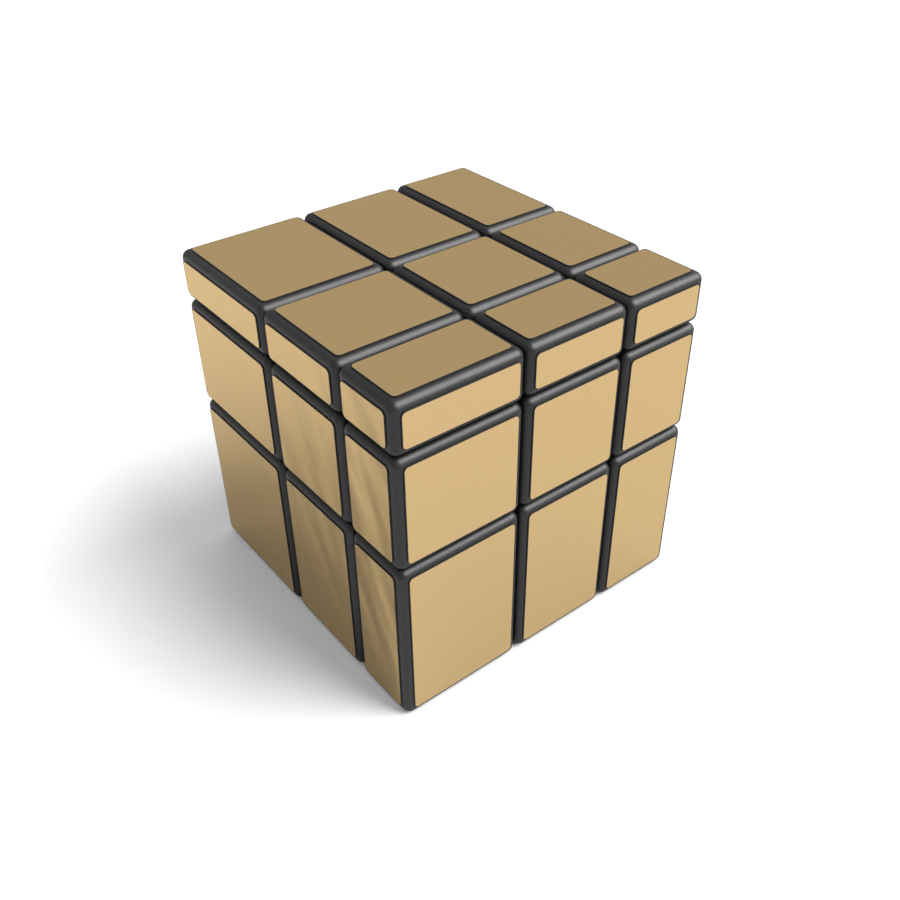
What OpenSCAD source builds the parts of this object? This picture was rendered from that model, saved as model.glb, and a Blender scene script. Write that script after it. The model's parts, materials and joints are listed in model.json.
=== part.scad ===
// Mirror block cube: a 3 x 3 x 3 turning puzzle whose layers differ in thickness.
// It stands on its bottom face. +Z is up, -Y is the front, +X is the right, and the
// origin is the middle of the bottom face. The turning centre lies off the middle of the
// cube, because the two outer layers on each axis have different thicknesses.
// Every piece belongs to the layers that it turns with. A layer's share of the inside is a
// slab plus a round boss about the turning axis, so all running faces are planes square to
// an axis or cylinders about it, and any layer can turn under its neighbours.

/* [Cube] */
// Width of the cube over its labels, left to right
cube_w = 57; // [48:0.5:70]
// Depth of the cube over its labels, front to back
cube_d = 57; // [46:0.5:70]
// Height of the cube over its labels
cube_h = 57; // [46:0.5:70]

/* [Layers] */
// Thickness of the middle layer, the same on all three axes
mid_t = 19; // [18:0.25:23]
// Thickness of the right layer (the left one takes the rest of the width)
right_t = 16; // [12:0.25:21]
// Thickness of the front layer (the back one takes the rest of the depth)
front_t = 12.5; // [10:0.25:16]
// Thickness of the top layer (the bottom one takes the rest of the height)
top_t = 8.5; // [7:0.25:14]

/* [Pieces] */
// Gap left on each side of every cut
cut_gap = 0.12; // [0.06:0.01:0.2]
// Rounding of the edges of the plastic pieces
edge_r = 1.25; // [0.6:0.05:1.5]
// Wall of the hollow shells
wall_t = 1.6; // [1.2:0.1:2]
// Thickness of the plate on the foot, which closes the mouth of the shell
plate_t = 1.8; // [1.4:0.1:2.4]
// Plastic between the round running track and the nearest outer face
track_cover = 2; // [1.6:0.1:2.4]
// Overlap of the root of a foot with its plate, or with its shell past the running track
root_extra = 0.6; // [0.2:0.1:1.2]
// Length taken off the ends of a corner's tongue, short of the running track
tongue_trim = 0.4; // [0.3:0.05:0.8]

/* [Labels] */
// Thickness of the metallic label on each face
label_t = 0.15; // [0.1:0.05:0.4]
// Distance from a label to the side of its block at a cut
label_cut_margin = 1.17; // [1:0.01:2]
// Distance from a label to the side of its block at an outer edge of the cube
label_edge_margin = 1.33; // [1:0.01:2]
// Corner radius of a label
label_r = 0.8; // [0.3:0.1:2]

/* [Core] */
// Side of the cube at the middle of the core
core_side = 10.6; // [9:0.2:12.8]
// Radius that rounds off the corners of that cube
core_ball_r = 7.7; // [7.6:0.1:9]
// Clearance between the core's cube and the feet around it
core_clear = 0.2; // [0.1:0.05:0.4]
// Radius of the six round arms of the core
arm_r = 3.5; // [3:0.1:3.8]
// Length of an arm past the side of the core's cube
arm_len = 2.8; // [2:0.1:3.2]
// Radial clearance of a running fit
run_fit = 0.05; // [0.02:0.01:0.1]

/* [Centres, screws and springs] */
// Web of a centre base that the spring presses on
web_t = 1; // [0.8:0.1:1.6]
// Radius of the spring's pocket in a centre base
pocket_r = 3.6; // [3.2:0.1:3.8]
// Least thickness of a centre base's flange over the running track
flange_t = 0.8; // [0.5:0.1:1.2]
// Gap between a centre cap's plug and the head of the screw below it
plug_gap = 0.9; // [0.3:0.1:1.2]
// Wall of the tubular post behind the plug
post_wall = 1.1; // [0.8:0.1:1.5]
// Radius of the screw's shank
screw_r = 1.5; // [1.2:0.1:1.8]
// Depth of the thread in the core's arm
thread_len = 6; // [4:0.5:7]
// Radius of the screw's pan head
head_r = 2.9; // [2.4:0.1:3]
// Height of the screw's pan head
head_h = 1.6; // [1.2:0.1:1.8]
// Width of one arm of the cross recess
recess_w = 0.8; // [0.5:0.1:1]
// Length of the cross recess
recess_len = 3.5; // [2:0.1:4]
// Depth of the cross recess
recess_deep = 0.9; // [0.5:0.1:1.1]
// Clearance of the washer and the spring in their pocket
pocket_clear = 0.4; // [0.2:0.05:0.8]
// Thickness of the washer
washer_t = 0.5; // [0.3:0.1:0.8]
// Thickness of the spring's wire
wire_t = 0.5; // [0.4:0.05:0.6]
// Height of the spring when the screw is set
spring_h = 2.6; // [2.2:0.1:3]
// Number of turns of the spring
spring_turns = 3; // [2:1:4]

/* [Hidden] */
$fn = 64;
far = 2 * max(cube_w, cube_d, cube_h);
// Run of a bore or a boss past the face where it ends, so that the two cross cleanly
past = 1;
shell_colour = "#1d1d1f";
foot_colour = "#2a2a2d";
steel_colour = "silver";
spring_colour = "gray";
label_colour = "#c9aa78";

// Half the middle layer: the height of each cut above the turning centre
cut_h = mid_t / 2;
// Thickness of the outer layers on the low and on the high side of X, Y and Z
low_t = [cube_w - mid_t - right_t, front_t, cube_h - mid_t - top_t];
high_t = [right_t, cube_d - mid_t - front_t, top_t];
// Place of the turning centre
core_at = [cube_w / 2 - cut_h - high_t.x, cube_d / 2 - cut_h - high_t.y, cube_h - cut_h - high_t.z];
// Inner face of the feet, and radius of the round track they run in
foot_h = core_side / 2 + core_clear;
track_r = cut_h + min(min(low_t), min(high_t)) - track_cover;
// Height at which the track crosses the cuts, where the tongue and the root of a corner end
cross_h = sqrt(track_r * track_r - cut_h * cut_h);
// Top of a centre base, on which its cap sits
flange_h = track_r + cut_gap + flange_t;
// Heights along an arm, from the turning centre outwards
arm_h = core_side / 2 + arm_len;
web_h = arm_h + web_t;
washer_h = web_h + spring_h;
head_at = washer_h + washer_t;
plug_h = head_at + head_h + plug_gap;
// Outer radius of the washer and of the spring
coil_out_r = pocket_r - pocket_clear;
// Facets of the spring: sides of its wire and rings in each turn
wire_sides = 6;
ring_count = 18;

// ---- Places ----

module at_core() translate(core_at) children();

// Turns something built along +Z to point along side s of axis a (0 = X, 1 = Y, 2 = Z).
module along(a, s) {
    turn = a == 0 ? [0, 90 * s, 0] : a == 1 ? [-90 * s, 0, 0] : [s > 0 ? 0 : 180, 0, 0];
    rotate(turn) children();
}

module on_each_arm() for (a = [0:2], s = [-1, 1]) along(a, s) children();

// Low and high end of the plastic of a piece on axis a, for side s (0 = middle layer).
function low_end(a, s) =
    s < 0 ? label_t - cut_h - low_t[a] : s > 0 ? cut_h + cut_gap : cut_gap - cut_h;
function high_end(a, s) =
    s < 0 ? -cut_h - cut_gap : s > 0 ? cut_h + high_t[a] - label_t : cut_h - cut_gap;
function low_ends(s) = [for (a = [0:2]) low_end(a, s[a])];
function high_ends(s) = [for (a = [0:2]) high_end(a, s[a])];

// Box that runs on axis a from the height from[a] to to[a] on the side s[a], and half to
// each side of the turning centre where s[a] is the middle layer.
module sided_box(s, from, to, half = far) {
    p = [for (a = [0:2]) s[a] < 0 ? -to[a] : s[a] > 0 ? from[a] : -half];
    q = [for (a = [0:2]) s[a] < 0 ? -from[a] : s[a] > 0 ? to[a] : half];
    translate(p) cube(q - p);
}

// ---- Rounded blocks ----

module rounded_rect(x, y, r) {
    translate([x[0] + r, y[0]]) square([x[1] - x[0] - 2 * r, y[1] - y[0]]);
    translate([x[0], y[0] + r]) square([x[1] - x[0], y[1] - y[0] - 2 * r]);
    for (u = [x[0] + r, x[1] - r], v = [y[0] + r, y[1] - r]) translate([u, v]) circle(r);
}

// Slab with rounded corners, square to axis a, over the spans x, y and z.
module rounded_slab(a, x, y, z, r) {
    if (a == 0) translate([x[0], 0, 0]) rotate([90, 0, 90])
        linear_extrude(x[1] - x[0]) rounded_rect(y, z, r);
    if (a == 1) translate([0, y[1], 0]) rotate([90, 0, 0])
        linear_extrude(y[1] - y[0]) rounded_rect(x, z, r);
    if (a == 2) translate([0, 0, z[0]])
        linear_extrude(z[1] - z[0]) rounded_rect(x, y, r);
}

// The outside of the piece on the sides in s, with all its edges rounded.
module piece_block(s) {
    p = low_ends(s);
    q = high_ends(s);
    intersection_for (a = [0:2])
        rounded_slab(a, [p.x, q.x], [p.y, q.y], [p.z, q.z], edge_r);
}

// ---- Shares of the inside ----

// All that turns with the layer on side s of axis a, less the gap.
module layer_share(a, s) along(a, s) {
    translate([-far, -far, cut_h + cut_gap]) cube([2 * far, 2 * far, far]);
    translate([0, 0, foot_h]) cylinder(r = track_r - cut_gap, h = cut_h + past - foot_h);
}

// Round boss of both outer layers of axis a with the gap, as a middle piece clears it.
module track(a) for (s = [-1, 1]) along(a, s)
    translate([0, 0, foot_h - cut_gap]) cylinder(r = track_r + cut_gap, h = cut_h);

// All that stays in the middle layer of axis a.
module middle_share(a) difference() {
    along(a, 1) translate([-far, -far, cut_gap - cut_h])
        cube([2 * far, 2 * far, 2 * (cut_h - cut_gap)]);
    track(a);
}

module share(a, s) {
    if (s == 0) middle_share(a);
    if (s != 0) layer_share(a, s);
}

// ---- Corners and edges: a hollow shell on a foot ----

function is_corner(s) = s.x != 0 && s.y != 0 && s.z != 0;
function all_at(h) = [h, h, h];
// A shell's mouth, closed by the plate, is on the side of Z, or of Y in the middle layer.
function mouth_axis(s) = s.z != 0 ? 2 : 1;
// Inner faces of a block, the track's outer wall, and the place where that wall meets them.
block_h = cut_h + cut_gap;
wall_r = track_r + cut_gap + wall_t;
wall_meet_h = sqrt(wall_r * wall_r - block_h * block_h);

// Root of a foot, at the inmost corner of the block, with the plate's thickness on an edge.
module root(s) {
    k = mouth_axis(s);
    edge_to = [for (a = [0:2]) a == k ? block_h + plate_t : wall_meet_h + root_extra];
    to = is_corner(s) ? all_at(cross_h + root_extra) : edge_to;
    sided_box(s, all_at(block_h), to, foot_h - cut_gap);
}

// Tracks of the axes on which the piece lies in the middle layer.
module own_tracks(s) for (a = [0:2]) if (s[a] == 0) track(a);

// Hollow of a shell, open at its mouth, with a wall kept round the track.
module hollow(s) {
    k = mouth_axis(s);
    p = low_ends(s);
    q = high_ends(s);
    low = [for (a = [0:2]) a == k && s[a] > 0 ? p[a] : p[a] + wall_t];
    high = [for (a = [0:2]) a == k && s[a] < 0 ? q[a] : q[a] - wall_t];
    difference() {
        translate(low) cube(high - low);
        for (a = [0:2]) if (s[a] == 0) along(a, 1)
            translate([0, 0, -cut_h]) cylinder(r = wall_r, h = mid_t);
    }
}

module cubie_shell(s) difference() {
    piece_block(s);
    root(s);
    own_tracks(s);
    hollow(s);
}

// The tongue runs under the neighbours; the root joins it to the plate in the shell's mouth.
module cubie_foot(s) {
    k = mouth_axis(s);
    tongue_top = is_corner(s) ? cross_h - tongue_trim : track_r;
    difference() {
        intersection() {
            share(0, s.x);
            share(1, s.y);
            share(2, s.z);
            sided_box(s, all_at(0), all_at(tongue_top));
        }
        sided_box(s, all_at(block_h), all_at(far));
    }
    root(s);
    intersection() {
        hollow(s);
        sided_box([for (a = [0:2]) a == k ? s[a] : 0], all_at(0), all_at(block_h + plate_t));
    }
}

// ---- Centres: a common base on its screw, under a cap that gives the layer its thickness ----

function side_of(s) = s.x + s.y + s.z;
function axis_of(s) = s.x != 0 ? 0 : s.y != 0 ? 1 : 2;

module centre_base(s) along(axis_of(s), side_of(s)) difference() {
    half = cut_h - cut_gap;
    rounded_slab(2, [-half, half], [-half, half], [foot_h, flange_h], edge_r);
    track(0);
    track(1);
    // journal on the core's arm, hole for the screw and pocket for the spring
    translate([0, 0, foot_h - past]) cylinder(r = arm_r + run_fit, h = arm_h - foot_h + past);
    translate([0, 0, arm_h - past]) cylinder(r = screw_r + run_fit, h = web_t + 2 * past);
    translate([0, 0, web_h]) cylinder(r = pocket_r, h = flange_h);
}

module centre_cap(s) {
    a = axis_of(s);
    top_h = (side_of(s) > 0 ? high_t[a] : low_t[a]) + cut_h - label_t;
    half = cut_h - cut_gap - wall_t;
    roof = max(top_h - wall_t, flange_h);
    plug_r = pocket_r - run_fit;
    difference() {
        piece_block(s);
        along(a, side_of(s)) translate([-far, -far, 0]) cube([2 * far, 2 * far, flange_h]);
        along(a, side_of(s)) translate([-half, -half, 0]) cube([2 * half, 2 * half, roof]);
    }
    along(a, side_of(s)) difference() {
        translate([0, 0, plug_h]) cylinder(r = plug_r, h = roof - plug_h);
        translate([0, 0, plug_h - past]) cylinder(r = plug_r - post_wall, h = roof - plug_h + past);
    }
}

// ---- Core, screws, washers and springs ----

module core_spider() difference() {
    union() {
        intersection() {
            translate([for (a = [0:2]) -core_side / 2]) cube(core_side);
            sphere(core_ball_r);
        }
        on_each_arm() cylinder(r = arm_r, h = arm_h);
    }
    on_each_arm() translate([0, 0, arm_h - thread_len]) cylinder(r = screw_r, h = thread_len + past);
}

module screw() difference() {
    union() {
        translate([0, 0, arm_h - thread_len]) cylinder(r = screw_r, h = thread_len + head_at - arm_h);
        translate([0, 0, head_at]) cylinder(r = head_r, h = head_h);
    }
    for (turn = [0, 90]) rotate(turn)
        translate([-recess_len / 2, -recess_w / 2, head_at + head_h - recess_deep])
            cube([recess_len, recess_w, head_h]);
}

module washer() translate([0, 0, washer_h]) difference() {
    cylinder(r = coil_out_r, h = washer_t);
    translate([0, 0, -past]) cylinder(r = screw_r, h = washer_t + 2 * past);
}

// Round wire wound into a coil between the web and the washer.
module spring() {
    wire_r = wire_t / 2;
    coil_r = coil_out_r - wire_r;
    rings = spring_turns * ring_count;
    rise = (spring_h - wire_t) / rings;
    points = [for (i = [0:rings], j = [0:wire_sides - 1])
        let (turn = 360 * i / ring_count, lean = 360 * j / wire_sides, r = coil_r + wire_r * cos(lean))
        [r * cos(turn), r * sin(turn), wire_r + rise * i + wire_r * sin(lean)]];
    walls = [for (i = [0:rings - 1], j = [0:wire_sides - 1])
        let (k = (j + 1) % wire_sides, here = i * wire_sides, next = here + wire_sides)
        [here + j, here + k, next + k, next + j]];
    ends = [[for (j = [wire_sides - 1:-1:0]) j], [for (j = [0:wire_sides - 1]) rings * wire_sides + j]];
    translate([0, 0, web_h]) polyhedron(points, concat(walls, ends));
}

// ---- Labels ----

// Label on the side s[a] of axis a of the piece on the sides in s.
module label(a, s) {
    p = low_ends(s);
    q = high_ends(s);
    low_in = [for (k = [0:2]) s[k] < 0 ? label_edge_margin : label_cut_margin];
    high_in = [for (k = [0:2]) s[k] > 0 ? label_edge_margin : label_cut_margin];
    x = [for (k = [0:2]) k != a ? p[k] + low_in[k] : s[k] > 0 ? q[k] : p[k] - label_t];
    y = [for (k = [0:2]) k != a ? q[k] - high_in[k] : s[k] > 0 ? q[k] + label_t : p[k]];
    rounded_slab(a, [x.x, y.x], [x.y, y.y], [x.z, y.z], label_r);
}

// The labels of all the pieces in the layer on side z of the vertical axis.
module layer_labels(z) for (x = [-1:1], y = [-1:1]) {
    if (x != 0) label(0, [x, y, z]);
    if (y != 0) label(1, [x, y, z]);
    if (z != 0) label(2, [x, y, z]);
}

// ---- Nodes ----

module corner_shell_top_front_left() color(shell_colour) at_core() cubie_shell([-1, -1, 1]);
module corner_foot_top_front_left() color(foot_colour) at_core() cubie_foot([-1, -1, 1]);
module corner_shell_top_front_right() color(shell_colour) at_core() cubie_shell([1, -1, 1]);
module corner_foot_top_front_right() color(foot_colour) at_core() cubie_foot([1, -1, 1]);
module corner_shell_top_back_left() color(shell_colour) at_core() cubie_shell([-1, 1, 1]);
module corner_foot_top_back_left() color(foot_colour) at_core() cubie_foot([-1, 1, 1]);
module corner_shell_top_back_right() color(shell_colour) at_core() cubie_shell([1, 1, 1]);
module corner_foot_top_back_right() color(foot_colour) at_core() cubie_foot([1, 1, 1]);
module corner_shell_bottom_front_left() color(shell_colour) at_core() cubie_shell([-1, -1, -1]);
module corner_foot_bottom_front_left() color(foot_colour) at_core() cubie_foot([-1, -1, -1]);
module corner_shell_bottom_front_right() color(shell_colour) at_core() cubie_shell([1, -1, -1]);
module corner_foot_bottom_front_right() color(foot_colour) at_core() cubie_foot([1, -1, -1]);
module corner_shell_bottom_back_left() color(shell_colour) at_core() cubie_shell([-1, 1, -1]);
module corner_foot_bottom_back_left() color(foot_colour) at_core() cubie_foot([-1, 1, -1]);
module corner_shell_bottom_back_right() color(shell_colour) at_core() cubie_shell([1, 1, -1]);
module corner_foot_bottom_back_right() color(foot_colour) at_core() cubie_foot([1, 1, -1]);
module edge_shell_top_front() color(shell_colour) at_core() cubie_shell([0, -1, 1]);
module edge_foot_top_front() color(foot_colour) at_core() cubie_foot([0, -1, 1]);
module edge_shell_top_left() color(shell_colour) at_core() cubie_shell([-1, 0, 1]);
module edge_foot_top_left() color(foot_colour) at_core() cubie_foot([-1, 0, 1]);
module edge_shell_top_right() color(shell_colour) at_core() cubie_shell([1, 0, 1]);
module edge_foot_top_right() color(foot_colour) at_core() cubie_foot([1, 0, 1]);
module edge_shell_top_back() color(shell_colour) at_core() cubie_shell([0, 1, 1]);
module edge_foot_top_back() color(foot_colour) at_core() cubie_foot([0, 1, 1]);
module edge_shell_front_left() color(shell_colour) at_core() cubie_shell([-1, -1, 0]);
module edge_foot_front_left() color(foot_colour) at_core() cubie_foot([-1, -1, 0]);
module edge_shell_front_right() color(shell_colour) at_core() cubie_shell([1, -1, 0]);
module edge_foot_front_right() color(foot_colour) at_core() cubie_foot([1, -1, 0]);
module edge_shell_back_left() color(shell_colour) at_core() cubie_shell([-1, 1, 0]);
module edge_foot_back_left() color(foot_colour) at_core() cubie_foot([-1, 1, 0]);
module edge_shell_back_right() color(shell_colour) at_core() cubie_shell([1, 1, 0]);
module edge_foot_back_right() color(foot_colour) at_core() cubie_foot([1, 1, 0]);
module edge_shell_bottom_front() color(shell_colour) at_core() cubie_shell([0, -1, -1]);
module edge_foot_bottom_front() color(foot_colour) at_core() cubie_foot([0, -1, -1]);
module edge_shell_bottom_left() color(shell_colour) at_core() cubie_shell([-1, 0, -1]);
module edge_foot_bottom_left() color(foot_colour) at_core() cubie_foot([-1, 0, -1]);
module edge_shell_bottom_right() color(shell_colour) at_core() cubie_shell([1, 0, -1]);
module edge_foot_bottom_right() color(foot_colour) at_core() cubie_foot([1, 0, -1]);
module edge_shell_bottom_back() color(shell_colour) at_core() cubie_shell([0, 1, -1]);
module edge_foot_bottom_back() color(foot_colour) at_core() cubie_foot([0, 1, -1]);
module centre_base_top() color(foot_colour) at_core() centre_base([0, 0, 1]);
module centre_cap_top() color(shell_colour) at_core() centre_cap([0, 0, 1]);
module centre_base_bottom() color(foot_colour) at_core() centre_base([0, 0, -1]);
module centre_cap_bottom() color(shell_colour) at_core() centre_cap([0, 0, -1]);
module centre_base_front() color(foot_colour) at_core() centre_base([0, -1, 0]);
module centre_cap_front() color(shell_colour) at_core() centre_cap([0, -1, 0]);
module centre_base_back() color(foot_colour) at_core() centre_base([0, 1, 0]);
module centre_cap_back() color(shell_colour) at_core() centre_cap([0, 1, 0]);
module centre_base_left() color(foot_colour) at_core() centre_base([-1, 0, 0]);
module centre_cap_left() color(shell_colour) at_core() centre_cap([-1, 0, 0]);
module centre_base_right() color(foot_colour) at_core() centre_base([1, 0, 0]);
module centre_cap_right() color(shell_colour) at_core() centre_cap([1, 0, 0]);
module core() color(foot_colour) at_core() core_spider();
module screws() color(steel_colour) at_core() on_each_arm() screw();
module washers() color(steel_colour) at_core() on_each_arm() washer();
module springs() color(spring_colour) at_core() on_each_arm() spring();
module labels_top_layer() color(label_colour) at_core() layer_labels(1);
module labels_middle_layer() color(label_colour) at_core() layer_labels(0);
module labels_bottom_layer() color(label_colour) at_core() layer_labels(-1);

corner_shell_top_front_left();
corner_foot_top_front_left();
corner_shell_top_front_right();
corner_foot_top_front_right();
corner_shell_top_back_left();
corner_foot_top_back_left();
corner_shell_top_back_right();
corner_foot_top_back_right();
corner_shell_bottom_front_left();
corner_foot_bottom_front_left();
corner_shell_bottom_front_right();
corner_foot_bottom_front_right();
corner_shell_bottom_back_left();
corner_foot_bottom_back_left();
corner_shell_bottom_back_right();
corner_foot_bottom_back_right();
edge_shell_top_front();
edge_foot_top_front();
edge_shell_top_left();
edge_foot_top_left();
edge_shell_top_right();
edge_foot_top_right();
edge_shell_top_back();
edge_foot_top_back();
edge_shell_front_left();
edge_foot_front_left();
edge_shell_front_right();
edge_foot_front_right();
edge_shell_back_left();
edge_foot_back_left();
edge_shell_back_right();
edge_foot_back_right();
edge_shell_bottom_front();
edge_foot_bottom_front();
edge_shell_bottom_left();
edge_foot_bottom_left();
edge_shell_bottom_right();
edge_foot_bottom_right();
edge_shell_bottom_back();
edge_foot_bottom_back();
centre_base_top();
centre_cap_top();
centre_base_bottom();
centre_cap_bottom();
centre_base_front();
centre_cap_front();
centre_base_back();
centre_cap_back();
centre_base_left();
centre_cap_left();
centre_base_right();
centre_cap_right();
core();
screws();
washers();
springs();
labels_top_layer();
labels_middle_layer();
labels_bottom_layer();
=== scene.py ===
"""Mirror block cube: the visual model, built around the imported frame.

Metres, +Z up, the origin in the middle of the bottom face. The front is -Y, and +X is the
right. The outer plastic and the labels are new pieces; the inner parts are the frame's own.
"""

import json
import math

import bmesh
import bpy
from mathutils import Euler, Matrix, Vector

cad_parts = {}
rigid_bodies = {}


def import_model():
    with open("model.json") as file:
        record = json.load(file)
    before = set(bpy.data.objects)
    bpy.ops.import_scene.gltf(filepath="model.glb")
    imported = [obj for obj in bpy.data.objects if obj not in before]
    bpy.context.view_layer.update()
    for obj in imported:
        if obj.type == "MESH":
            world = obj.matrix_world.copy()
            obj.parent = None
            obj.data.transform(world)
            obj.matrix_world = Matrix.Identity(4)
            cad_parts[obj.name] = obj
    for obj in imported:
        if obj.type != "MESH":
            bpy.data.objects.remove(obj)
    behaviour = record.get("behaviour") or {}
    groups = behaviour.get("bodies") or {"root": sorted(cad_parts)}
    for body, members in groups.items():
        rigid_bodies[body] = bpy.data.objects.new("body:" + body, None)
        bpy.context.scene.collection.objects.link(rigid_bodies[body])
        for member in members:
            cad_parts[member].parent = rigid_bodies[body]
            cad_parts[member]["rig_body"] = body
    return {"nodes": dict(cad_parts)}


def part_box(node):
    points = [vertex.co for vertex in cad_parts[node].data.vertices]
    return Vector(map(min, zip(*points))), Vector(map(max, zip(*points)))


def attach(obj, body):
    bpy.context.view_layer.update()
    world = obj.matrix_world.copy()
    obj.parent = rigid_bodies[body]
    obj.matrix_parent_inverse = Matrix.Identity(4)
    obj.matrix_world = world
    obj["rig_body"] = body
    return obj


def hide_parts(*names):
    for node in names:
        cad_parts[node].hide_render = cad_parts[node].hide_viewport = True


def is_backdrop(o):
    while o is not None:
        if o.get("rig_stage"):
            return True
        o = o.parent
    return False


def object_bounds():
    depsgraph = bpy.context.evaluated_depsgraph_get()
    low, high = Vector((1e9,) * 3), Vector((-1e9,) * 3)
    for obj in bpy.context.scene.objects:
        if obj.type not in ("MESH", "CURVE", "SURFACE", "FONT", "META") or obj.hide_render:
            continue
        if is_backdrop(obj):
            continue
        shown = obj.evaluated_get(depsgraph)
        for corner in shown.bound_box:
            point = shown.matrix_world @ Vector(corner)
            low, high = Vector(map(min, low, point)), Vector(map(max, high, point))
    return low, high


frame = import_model()
cad_low, cad_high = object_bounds()

# ---------------------------------------------------------------------------------------
# Core: a small moulded cube with six round arms, which stays with the middle layer. It is
# plain black plastic straight from the mould, with a fine matt grain and flow marks.

MM = 0.001
nodes = frame["nodes"]


class Value:
    """A shader socket that takes part in plain Python arithmetic."""

    def __init__(self, finish, socket):
        self.finish, self.socket = finish, socket

    def _math(self, operation, *inputs):
        return self.finish.node("ShaderNodeMath", {"operation": operation}, dict(enumerate(inputs)))

    def __add__(self, other):
        return self._math("ADD", self, other)

    def __sub__(self, other):
        return self._math("SUBTRACT", self, other)

    def __rsub__(self, other):
        return self._math("SUBTRACT", other, self)

    def __mul__(self, other):
        return self._math("MULTIPLY", self, other)

    def clamped(self, low, high):
        """The value moved from low..high to 0..1, and held there."""
        settings = {"clamp": True}
        inputs = {"Value": self, "From Min": low, "From Max": high}
        return self.finish.node("ShaderNodeMapRange", settings, inputs, "Result")

    __radd__, __rmul__ = __add__, __mul__


class Finish:
    """One material: its nodes are made by node(), and its shader by shade()."""

    def __init__(self, name):
        self.material = bpy.data.materials.new(name)
        self.material.use_nodes = True
        self.tree = self.material.node_tree
        self.tree.nodes.clear()
        self.place = self.node("ShaderNodeTexCoord", {}, {}, "Object")

    def node(self, kind, settings, inputs, output=0):
        """One node of a kind, with its settings, and the values or links of its sockets."""
        made = self.tree.nodes.new(kind)
        for key, setting in settings.items():
            setattr(made, key, setting)
        for key, value in inputs.items():
            if isinstance(value, Value):
                self.tree.links.new(value.socket, made.inputs[key])
            else:
                made.inputs[key].default_value = value
        return Value(self, made.outputs[output])

    def noise(self, scale, detail=2.0, roughness=0.5, stretch=(1, 1, 1), turn=(0, 0, 0), start=(0, 0, 0)):
        """Noise from 0 to 1 whose lumps are about 1/scale metres across, stretched and turned."""
        settings = {"vector_type": "TEXTURE"}
        inputs = {"Vector": self.place, "Location": start, "Rotation": turn, "Scale": stretch}
        place = self.node("ShaderNodeMapping", settings, inputs)
        inputs = {"Vector": place, "Scale": scale, "Detail": detail, "Roughness": roughness}
        return self.node("ShaderNodeTexNoise", {}, inputs, "Fac")

    def mixed(self, mask, low, high):
        """The colour low where mask is 0, and high where it is 1."""
        # 6 and 7 are the Mix node's two colour inputs, and 2 is its colour output
        inputs = {"Factor": mask, 6: (*low, 1), 7: (*high, 1)}
        return self.node("ShaderNodeMix", {"data_type": "RGBA"}, inputs, 2)

    def bumped(self, height, depth):
        """The normal of a surface that rises by depth metres as height goes from 0 to 1."""
        inputs = {"Height": height, "Distance": depth, "Strength": 1.0}
        return self.node("ShaderNodeBump", {}, inputs, "Normal")

    def shade(self, **sockets):
        """The finished material, from the sockets named here in a maker's words."""
        names = {"Base Color": "colour", "Roughness": "roughness", "Metallic": "metallic",
                 "Normal": "normal", "Specular IOR Level": "specular", "Specular Tint": "edge_tint"}
        inputs = {name: sockets[key] for name, key in names.items() if key in sockets}
        shader = self.node("ShaderNodeBsdfPrincipled", {}, inputs, "BSDF")
        output = self.tree.nodes.new("ShaderNodeOutputMaterial")
        self.tree.links.new(shader.socket, output.inputs["Surface"])
        return self.material


def moulded_plastic(name, dark, light, rough_low, rough_high, grain_depth):
    """Black moulded plastic: slow colour drift, a fine matt grain and faint handling wear."""
    finish = Finish(name)
    drift = finish.noise(90, 3)
    grain = finish.noise(5200, 2)
    rubbed = finish.noise(420, 4, 0.6).clamped(0.42, 0.75)
    colour = finish.mixed(drift * 0.6 + rubbed * 0.4, dark, light)
    roughness = rough_low + (rough_high - rough_low) * (drift * 0.5 + grain * 0.5) - rubbed * 0.03
    normal = finish.bumped(grain, grain_depth)
    return finish.shade(colour=colour, roughness=roughness, normal=normal, specular=0.31)


def dress(node, material):
    """Gives a frame node its finish."""
    slots = nodes[node].data.materials
    if len(slots):
        slots[0] = material
    else:
        slots.append(material)


core_plastic = moulded_plastic(
    "matt black plastic of the core and feet", (0.016, 0.016, 0.017), (0.026, 0.026, 0.027), 0.44, 0.56,
    0.010 * MM,
)
dress("core", core_plastic)

# ---------------------------------------------------------------------------------------
# Feet and centre bases: the tongue, root and plate under every corner and edge, and the
# sprung bases of the centres. They are the same matt plastic as the core, glued or snapped
# into the shells above them.

for node in nodes:
    if "_foot_" in node or node.startswith("centre_base"):
        dress(node, core_plastic)

# ---------------------------------------------------------------------------------------
# Screws, washers and springs: bright zinc plate on the screws and washers, and drawn steel
# wire in the springs. They pull each centre towards the core.


def plated_steel(name, colour_low, colour_high, rough):
    """Bright steel with fine lines round it, which catch the light unevenly."""
    finish = Finish(name)
    turned = finish.noise(5400, 3, 0.6, (6, 6, 1))
    spots = finish.noise(2600, 2)
    colour = finish.mixed(turned, colour_low, colour_high)
    roughness = rough + turned * 0.12 + spots * 0.06
    normal = finish.bumped(turned, 0.004 * MM)
    return finish.shade(colour=colour, roughness=roughness, metallic=1.0, normal=normal)


zinc_plate = plated_steel("bright zinc plate", (0.50, 0.51, 0.53), (0.66, 0.66, 0.66), 0.20)
spring_wire = plated_steel("drawn spring wire", (0.30, 0.30, 0.31), (0.46, 0.46, 0.47), 0.26)
dress("screws", zinc_plate)
dress("washers", zinc_plate)
dress("springs", spring_wire)

# ---------------------------------------------------------------------------------------
# Shells and centre caps: the black outer plastic. Each is a hollow moulding with all its
# edges and corners rounded alike, so the cuts between two pieces are soft V grooves with a
# dark gap at the bottom. The plastic has a satin skin.

edge_radius = 1.32 * MM
# how far the moulding lies inside the frame's own block, so that it never stands out of it
skin_inset = 0.015 * MM
bevel_steps = 8
# points of a frame mesh that are one corner, and faces that are one flat side
same_point = 1e-7
same_side = math.radians(0.3)
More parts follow.
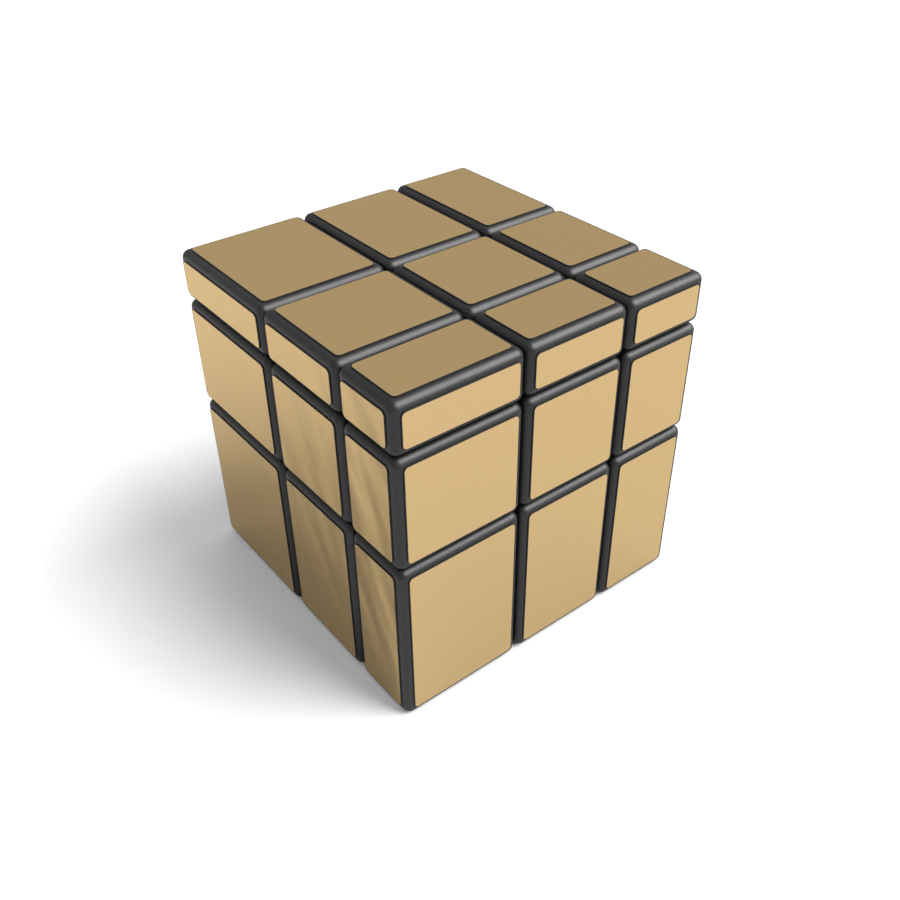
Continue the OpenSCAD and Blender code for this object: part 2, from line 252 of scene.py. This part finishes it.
# the axis and the way of each side of the cube
facing = {"left": (0, -1), "right": (0, 1), "front": (1, -1), "back": (1, 1),
          "bottom": (2, -1), "top": (2, 1)}
outer_blocks = [node for node in sorted(nodes) if "_shell_" in node or node.startswith("centre_cap")]


def rounded_block(low, high, radius):
    """A closed block from low to high, with round edges and ball corners."""
    block = bmesh.new()
    bmesh.ops.create_cube(block, size=1.0)
    size = Vector(high) - Vector(low)
    bmesh.ops.scale(block, vec=size, verts=block.verts)
    bmesh.ops.translate(block, vec=(Vector(low) + Vector(high)) / 2, verts=block.verts)
    bmesh.ops.bevel(
        block, geom=block.edges[:], offset=radius, offset_type="OFFSET", segments=bevel_steps,
        profile=0.5, affect="EDGES", clamp_overlap=True, material=-1,
    )
    for face in block.faces:
        face.smooth = True
    return block


def finished(name, mesh_source, material, body):
    """Turns a bmesh into a piece of its own that rides on a body."""
    mesh = bpy.data.meshes.new(name)
    mesh_source.to_mesh(mesh)
    mesh_source.free()
    mesh.materials.append(material)
    piece = bpy.data.objects.new(name, mesh)
    bpy.context.scene.collection.objects.link(piece)
    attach(piece, body)
    return piece


def frame_copy(node):
    """A closed copy of a frame node's mesh, with its loose triangles merged."""
    copy = bmesh.new()
    copy.from_mesh(nodes[node].data)
    bmesh.ops.remove_doubles(copy, verts=copy.verts, dist=same_point)
    bmesh.ops.dissolve_limit(copy, angle_limit=same_side, verts=copy.verts, edges=copy.edges)
    for face in copy.faces:
        face.smooth = False
    return copy


def keep_common(piece, other):
    """Cuts piece back for good to what it shares with the bmesh other."""
    mesh = bpy.data.meshes.new("cutter")
    other.to_mesh(mesh)
    other.free()
    cutter = bpy.data.objects.new("cutter", mesh)
    bpy.context.scene.collection.objects.link(cutter)
    cut = piece.modifiers.new("hollow", "BOOLEAN")
    cut.operation, cut.solver, cut.object = "INTERSECT", "EXACT", cutter
    bpy.context.view_layer.update()
    shape = piece.evaluated_get(bpy.context.evaluated_depsgraph_get())
    result = bpy.data.meshes.new_from_object(shape)
    piece.modifiers.clear()
    piece.data = result
    bpy.data.objects.remove(cutter)


def even_shading(piece):
    """Keeps the flat faces flat and the round edges smooth."""
    even = piece.modifiers.new("even shading", "WEIGHTED_NORMAL")
    even.mode, even.weight, even.keep_sharp = "FACE_AREA", 100, True


satin_plastic = moulded_plastic(
    "satin black plastic of the shells", (0.004, 0.004, 0.004), (0.008, 0.008, 0.008), 0.44, 0.50,
    0.0015 * MM,
)

inset = Vector((skin_inset,) * 3)
for node in outer_blocks:
    low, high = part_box(node)
    if node.startswith("centre_cap"):
        # a cap is the outer end of one block with its base, and keeps that block's round edges
        base_low, base_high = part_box(node.replace("cap", "base"))
        axis, way = facing[node.split("_")[-1]]
        for k in range(3):
            if k != axis or way > 0:
                low[k] = base_low[k]
            if k != axis or way < 0:
                high[k] = base_high[k]
    block = rounded_block(low + inset, high - inset, edge_radius)
    piece = finished(node + "_moulding", block, satin_plastic, nodes[node]["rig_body"])
    keep_common(piece, frame_copy(node))
    even_shading(piece)
    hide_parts(node)

# ---------------------------------------------------------------------------------------
# Labels: 54 pieces of gold metallised film, one on each outer face of each block, with round
# corners. The black hairline round the film and the black sides of each label are painted
# shade, for the dark outline round it.

cut_margin = 1.17 * MM
edge_margin = 1.33 * MM
label_corner = 0.80 * MM
# width of the black hairline round the film, painted shade for the label's dark outline
shade_border_width = 0.13 * MM
corner_steps = 8
crease_depth = 0.60 * MM
# the creases grow over the last stretch before the left face, and from the back to the front
askew_from_x = cad_low.x + 1.5 * MM, cad_low.x + 0.1 * MM
askew_from_y = 22 * MM, -18 * MM


def label_sheet(low, high, axis, side):
    """A thin plate with round corners, square to axis, whose film is on the given side."""
    sheet = bmesh.new()
    across = [k for k in range(3) if k != axis]
    size = Vector(high) - Vector(low)
    bmesh.ops.create_grid(sheet, x_segments=1, y_segments=1, size=0.5)
    bmesh.ops.scale(sheet, vec=(size[across[0]], size[across[1]], 1), verts=sheet.verts)
    bmesh.ops.bevel(
        sheet, geom=sheet.verts[:], offset=label_corner, offset_type="OFFSET",
        segments=corner_steps, profile=0.5, affect="VERTICES", material=-1,
    )
    raised = bmesh.ops.extrude_face_region(sheet, geom=sheet.faces[:])["geom"]
    top = [part for part in raised if isinstance(part, bmesh.types.BMVert)]
    bmesh.ops.translate(sheet, vec=(0, 0, size[axis]), verts=top)
    film_face = [part for part in raised if isinstance(part, bmesh.types.BMFace)]
    # every face but the film is black: painted shade for the dark outline round the label
    for face in sheet.faces:
        face.material_index = 1
    bmesh.ops.inset_region(sheet, faces=film_face, thickness=shade_border_width, depth=0.0)
    film_face[0].material_index = 0
    # the sheet was made lying down with its film up; turn it to face along its axis
    turn = Matrix.Identity(3)
    turn.col[0] = [k == across[0] for k in range(3)]
    turn.col[1] = [k == across[1] for k in range(3)]
    turn.col[2] = [side * (k == axis) for k in range(3)]
    bmesh.ops.transform(sheet, matrix=turn.to_4x4(), verts=sheet.verts)
    middle = (Vector(low) + Vector(high)) / 2
    middle[axis] = low[axis] if side > 0 else high[axis]
    bmesh.ops.translate(sheet, vec=middle, verts=sheet.verts)
    bmesh.ops.recalc_face_normals(sheet, faces=sheet.faces)
    return sheet


def gold_film():
    """Satin gold metallised film: a fine haze, faint rubs, and soft creases pressed into it."""
    finish = Finish("satin gold film")
    haze = finish.noise(7000, 2)
    rub = finish.noise(700, 4, 0.6, (1, 1, 4)).clamped(0.55, 0.8)
    tone = finish.noise(28, 2)
    colour = finish.mixed(tone, (0.470, 0.332, 0.162), (0.484, 0.343, 0.168))
    roughness = 0.20 + haze * 0.02 + rub * 0.02
    # the left-hand labels were pulled on askew, and crease more and more towards the front
    x, y = (finish.node("ShaderNodeSeparateXYZ", {}, {"Vector": finish.place}, k) for k in "XY")
    askew = x.clamped(*askew_from_x) * y.clamped(*askew_from_y)
    lean, crease_start = (math.radians(-24), 0, 0), (0, 0.002, 0.008)
    creases = finish.noise(180, 1, 0.4, (1, 1, 3.2), lean, crease_start) - 0.5
    height = creases * (0.22 + 0.85 * askew) + haze * 0.002
    normal = finish.bumped(height, crease_depth)
    return finish.shade(
        colour=colour, roughness=roughness, metallic=1.0, normal=normal,
        edge_tint=(0.835, 0.767, 0.66, 1),
    )


def edge_shade_film():
    """Black for the label's hairline border and sides: painted shade for the dark outline round each
    label.
    """
    finish = Finish("black label backing")
    fibre = finish.noise(3000, 2)
    colour = finish.mixed(fibre, (0.010, 0.010, 0.010), (0.016, 0.016, 0.015))
    return finish.shade(colour=colour, roughness=0.6 + fibre * 0.2, specular=0.2)


film, edge_shade = gold_film(), edge_shade_film()
label_t = cad_high.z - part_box("corner_shell_top_front_left")[1].z
low_side, high_side = ("left", "front", "bottom"), ("right", "back", "top")
for node in outer_blocks:
    body = nodes[node]["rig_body"]
    words = node.split("_")
    low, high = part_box(node)
    # a centre's label spreads over its base, whose sides are those of the whole block
    spread_low, spread_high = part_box(node.replace("_cap", "_base"))
    for side in [word for word in words if word in facing]:
        axis, way = facing[side]
        sheet_low, sheet_high = Vector(spread_low), Vector(spread_high)
        for k in range(3):
            sheet_low[k] += edge_margin if low_side[k] in words else cut_margin
            sheet_high[k] -= edge_margin if high_side[k] in words else cut_margin
        if way > 0:
            sheet_low[axis], sheet_high[axis] = high[axis] - skin_inset, high[axis] + label_t
        else:
            sheet_low[axis], sheet_high[axis] = low[axis] - label_t, low[axis] + skin_inset
        block = "_".join(word for word in words if word not in ("shell", "cap"))
        sheet = label_sheet(sheet_low, sheet_high, axis, way)
        label = finished("label_" + side + "_of_" + block, sheet, film, body)
        # the black hairline border and sides, painted shade round the film
        label.data.materials.append(edge_shade)
        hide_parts("labels_" + body)
        # the film throws no coloured light on what stands round it
        label.visible_diffuse = False

# ---------------------------------------------------------------------------------------
# Floor: a white seamless sheet, far larger than the cube, on which it stands.

floor_reach = 4.0
floor_mesh = bmesh.new()
bmesh.ops.create_grid(floor_mesh, x_segments=8, y_segments=8, size=floor_reach)
floor_data = bpy.data.meshes.new("floor")
floor_mesh.to_mesh(floor_data)
floor_mesh.free()
floor = bpy.data.objects.new("floor", floor_data)
bpy.context.scene.collection.objects.link(floor)
paper = Finish("white paper")
paper_tone = paper.mixed(paper.noise(40, 2), (0.77, 0.77, 0.77), (0.78, 0.78, 0.78))
floor_data.materials.append(paper.shade(colour=paper_tone, roughness=1.0, specular=0.0))
floor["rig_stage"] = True

# ---------------------------------------------------------------------------------------
# Light: a broad soft key from the front right and above, and an even grey room.

key_from = Vector((0.510, -0.495, 0.703))
key_width = math.radians(50.4)
room_light = 0.825
for name, energy, lights_paper in (("key", 4.82, True), ("key gloss", 4.6, False)):
    lamp = bpy.data.lights.new(name, "SUN")
    lamp.energy, lamp.angle = energy, key_width
    light = bpy.data.objects.new(name, lamp)
    light.rotation_euler = (-key_from).to_track_quat("-Z", "Y").to_euler()
    # the second lamp only puts more shine on the round edges
    light.visible_diffuse = lights_paper
    bpy.context.scene.collection.objects.link(light)

world = bpy.data.worlds.new("grey room")
world.use_nodes = True
sky = world.node_tree.nodes["Background"]
sky.inputs["Color"].default_value = (1, 1, 1, 1)
sky.inputs["Strength"].default_value = room_light
bpy.context.scene.world = world

# ---------------------------------------------------------------------------------------
# Camera: close above the front left edge, looking down on the cube.

camera_at = Vector((-82.54, -109.79, 122.10)) * MM
look_along = Vector((0.49320, 0.63793, -0.59144))
roll = math.radians(-0.735)
lens_length, sensor_width = 39.72, 36.0
nearest, farthest = 0.005, 20
lens_data = bpy.data.cameras.new("camera")
lens_data.lens, lens_data.sensor_width = lens_length, sensor_width
lens_data.clip_start, lens_data.clip_end = nearest, farthest
camera = bpy.data.objects.new("camera", lens_data)
camera.location = camera_at
facing_turn = look_along.to_track_quat("-Z", "Y").to_matrix()
camera.rotation_euler = (facing_turn @ Euler((0, 0, roll)).to_matrix()).to_euler()
bpy.context.scene.collection.objects.link(camera)
bpy.context.scene.camera = camera
bpy.context.scene.view_settings.view_transform = "Standard"

low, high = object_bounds()
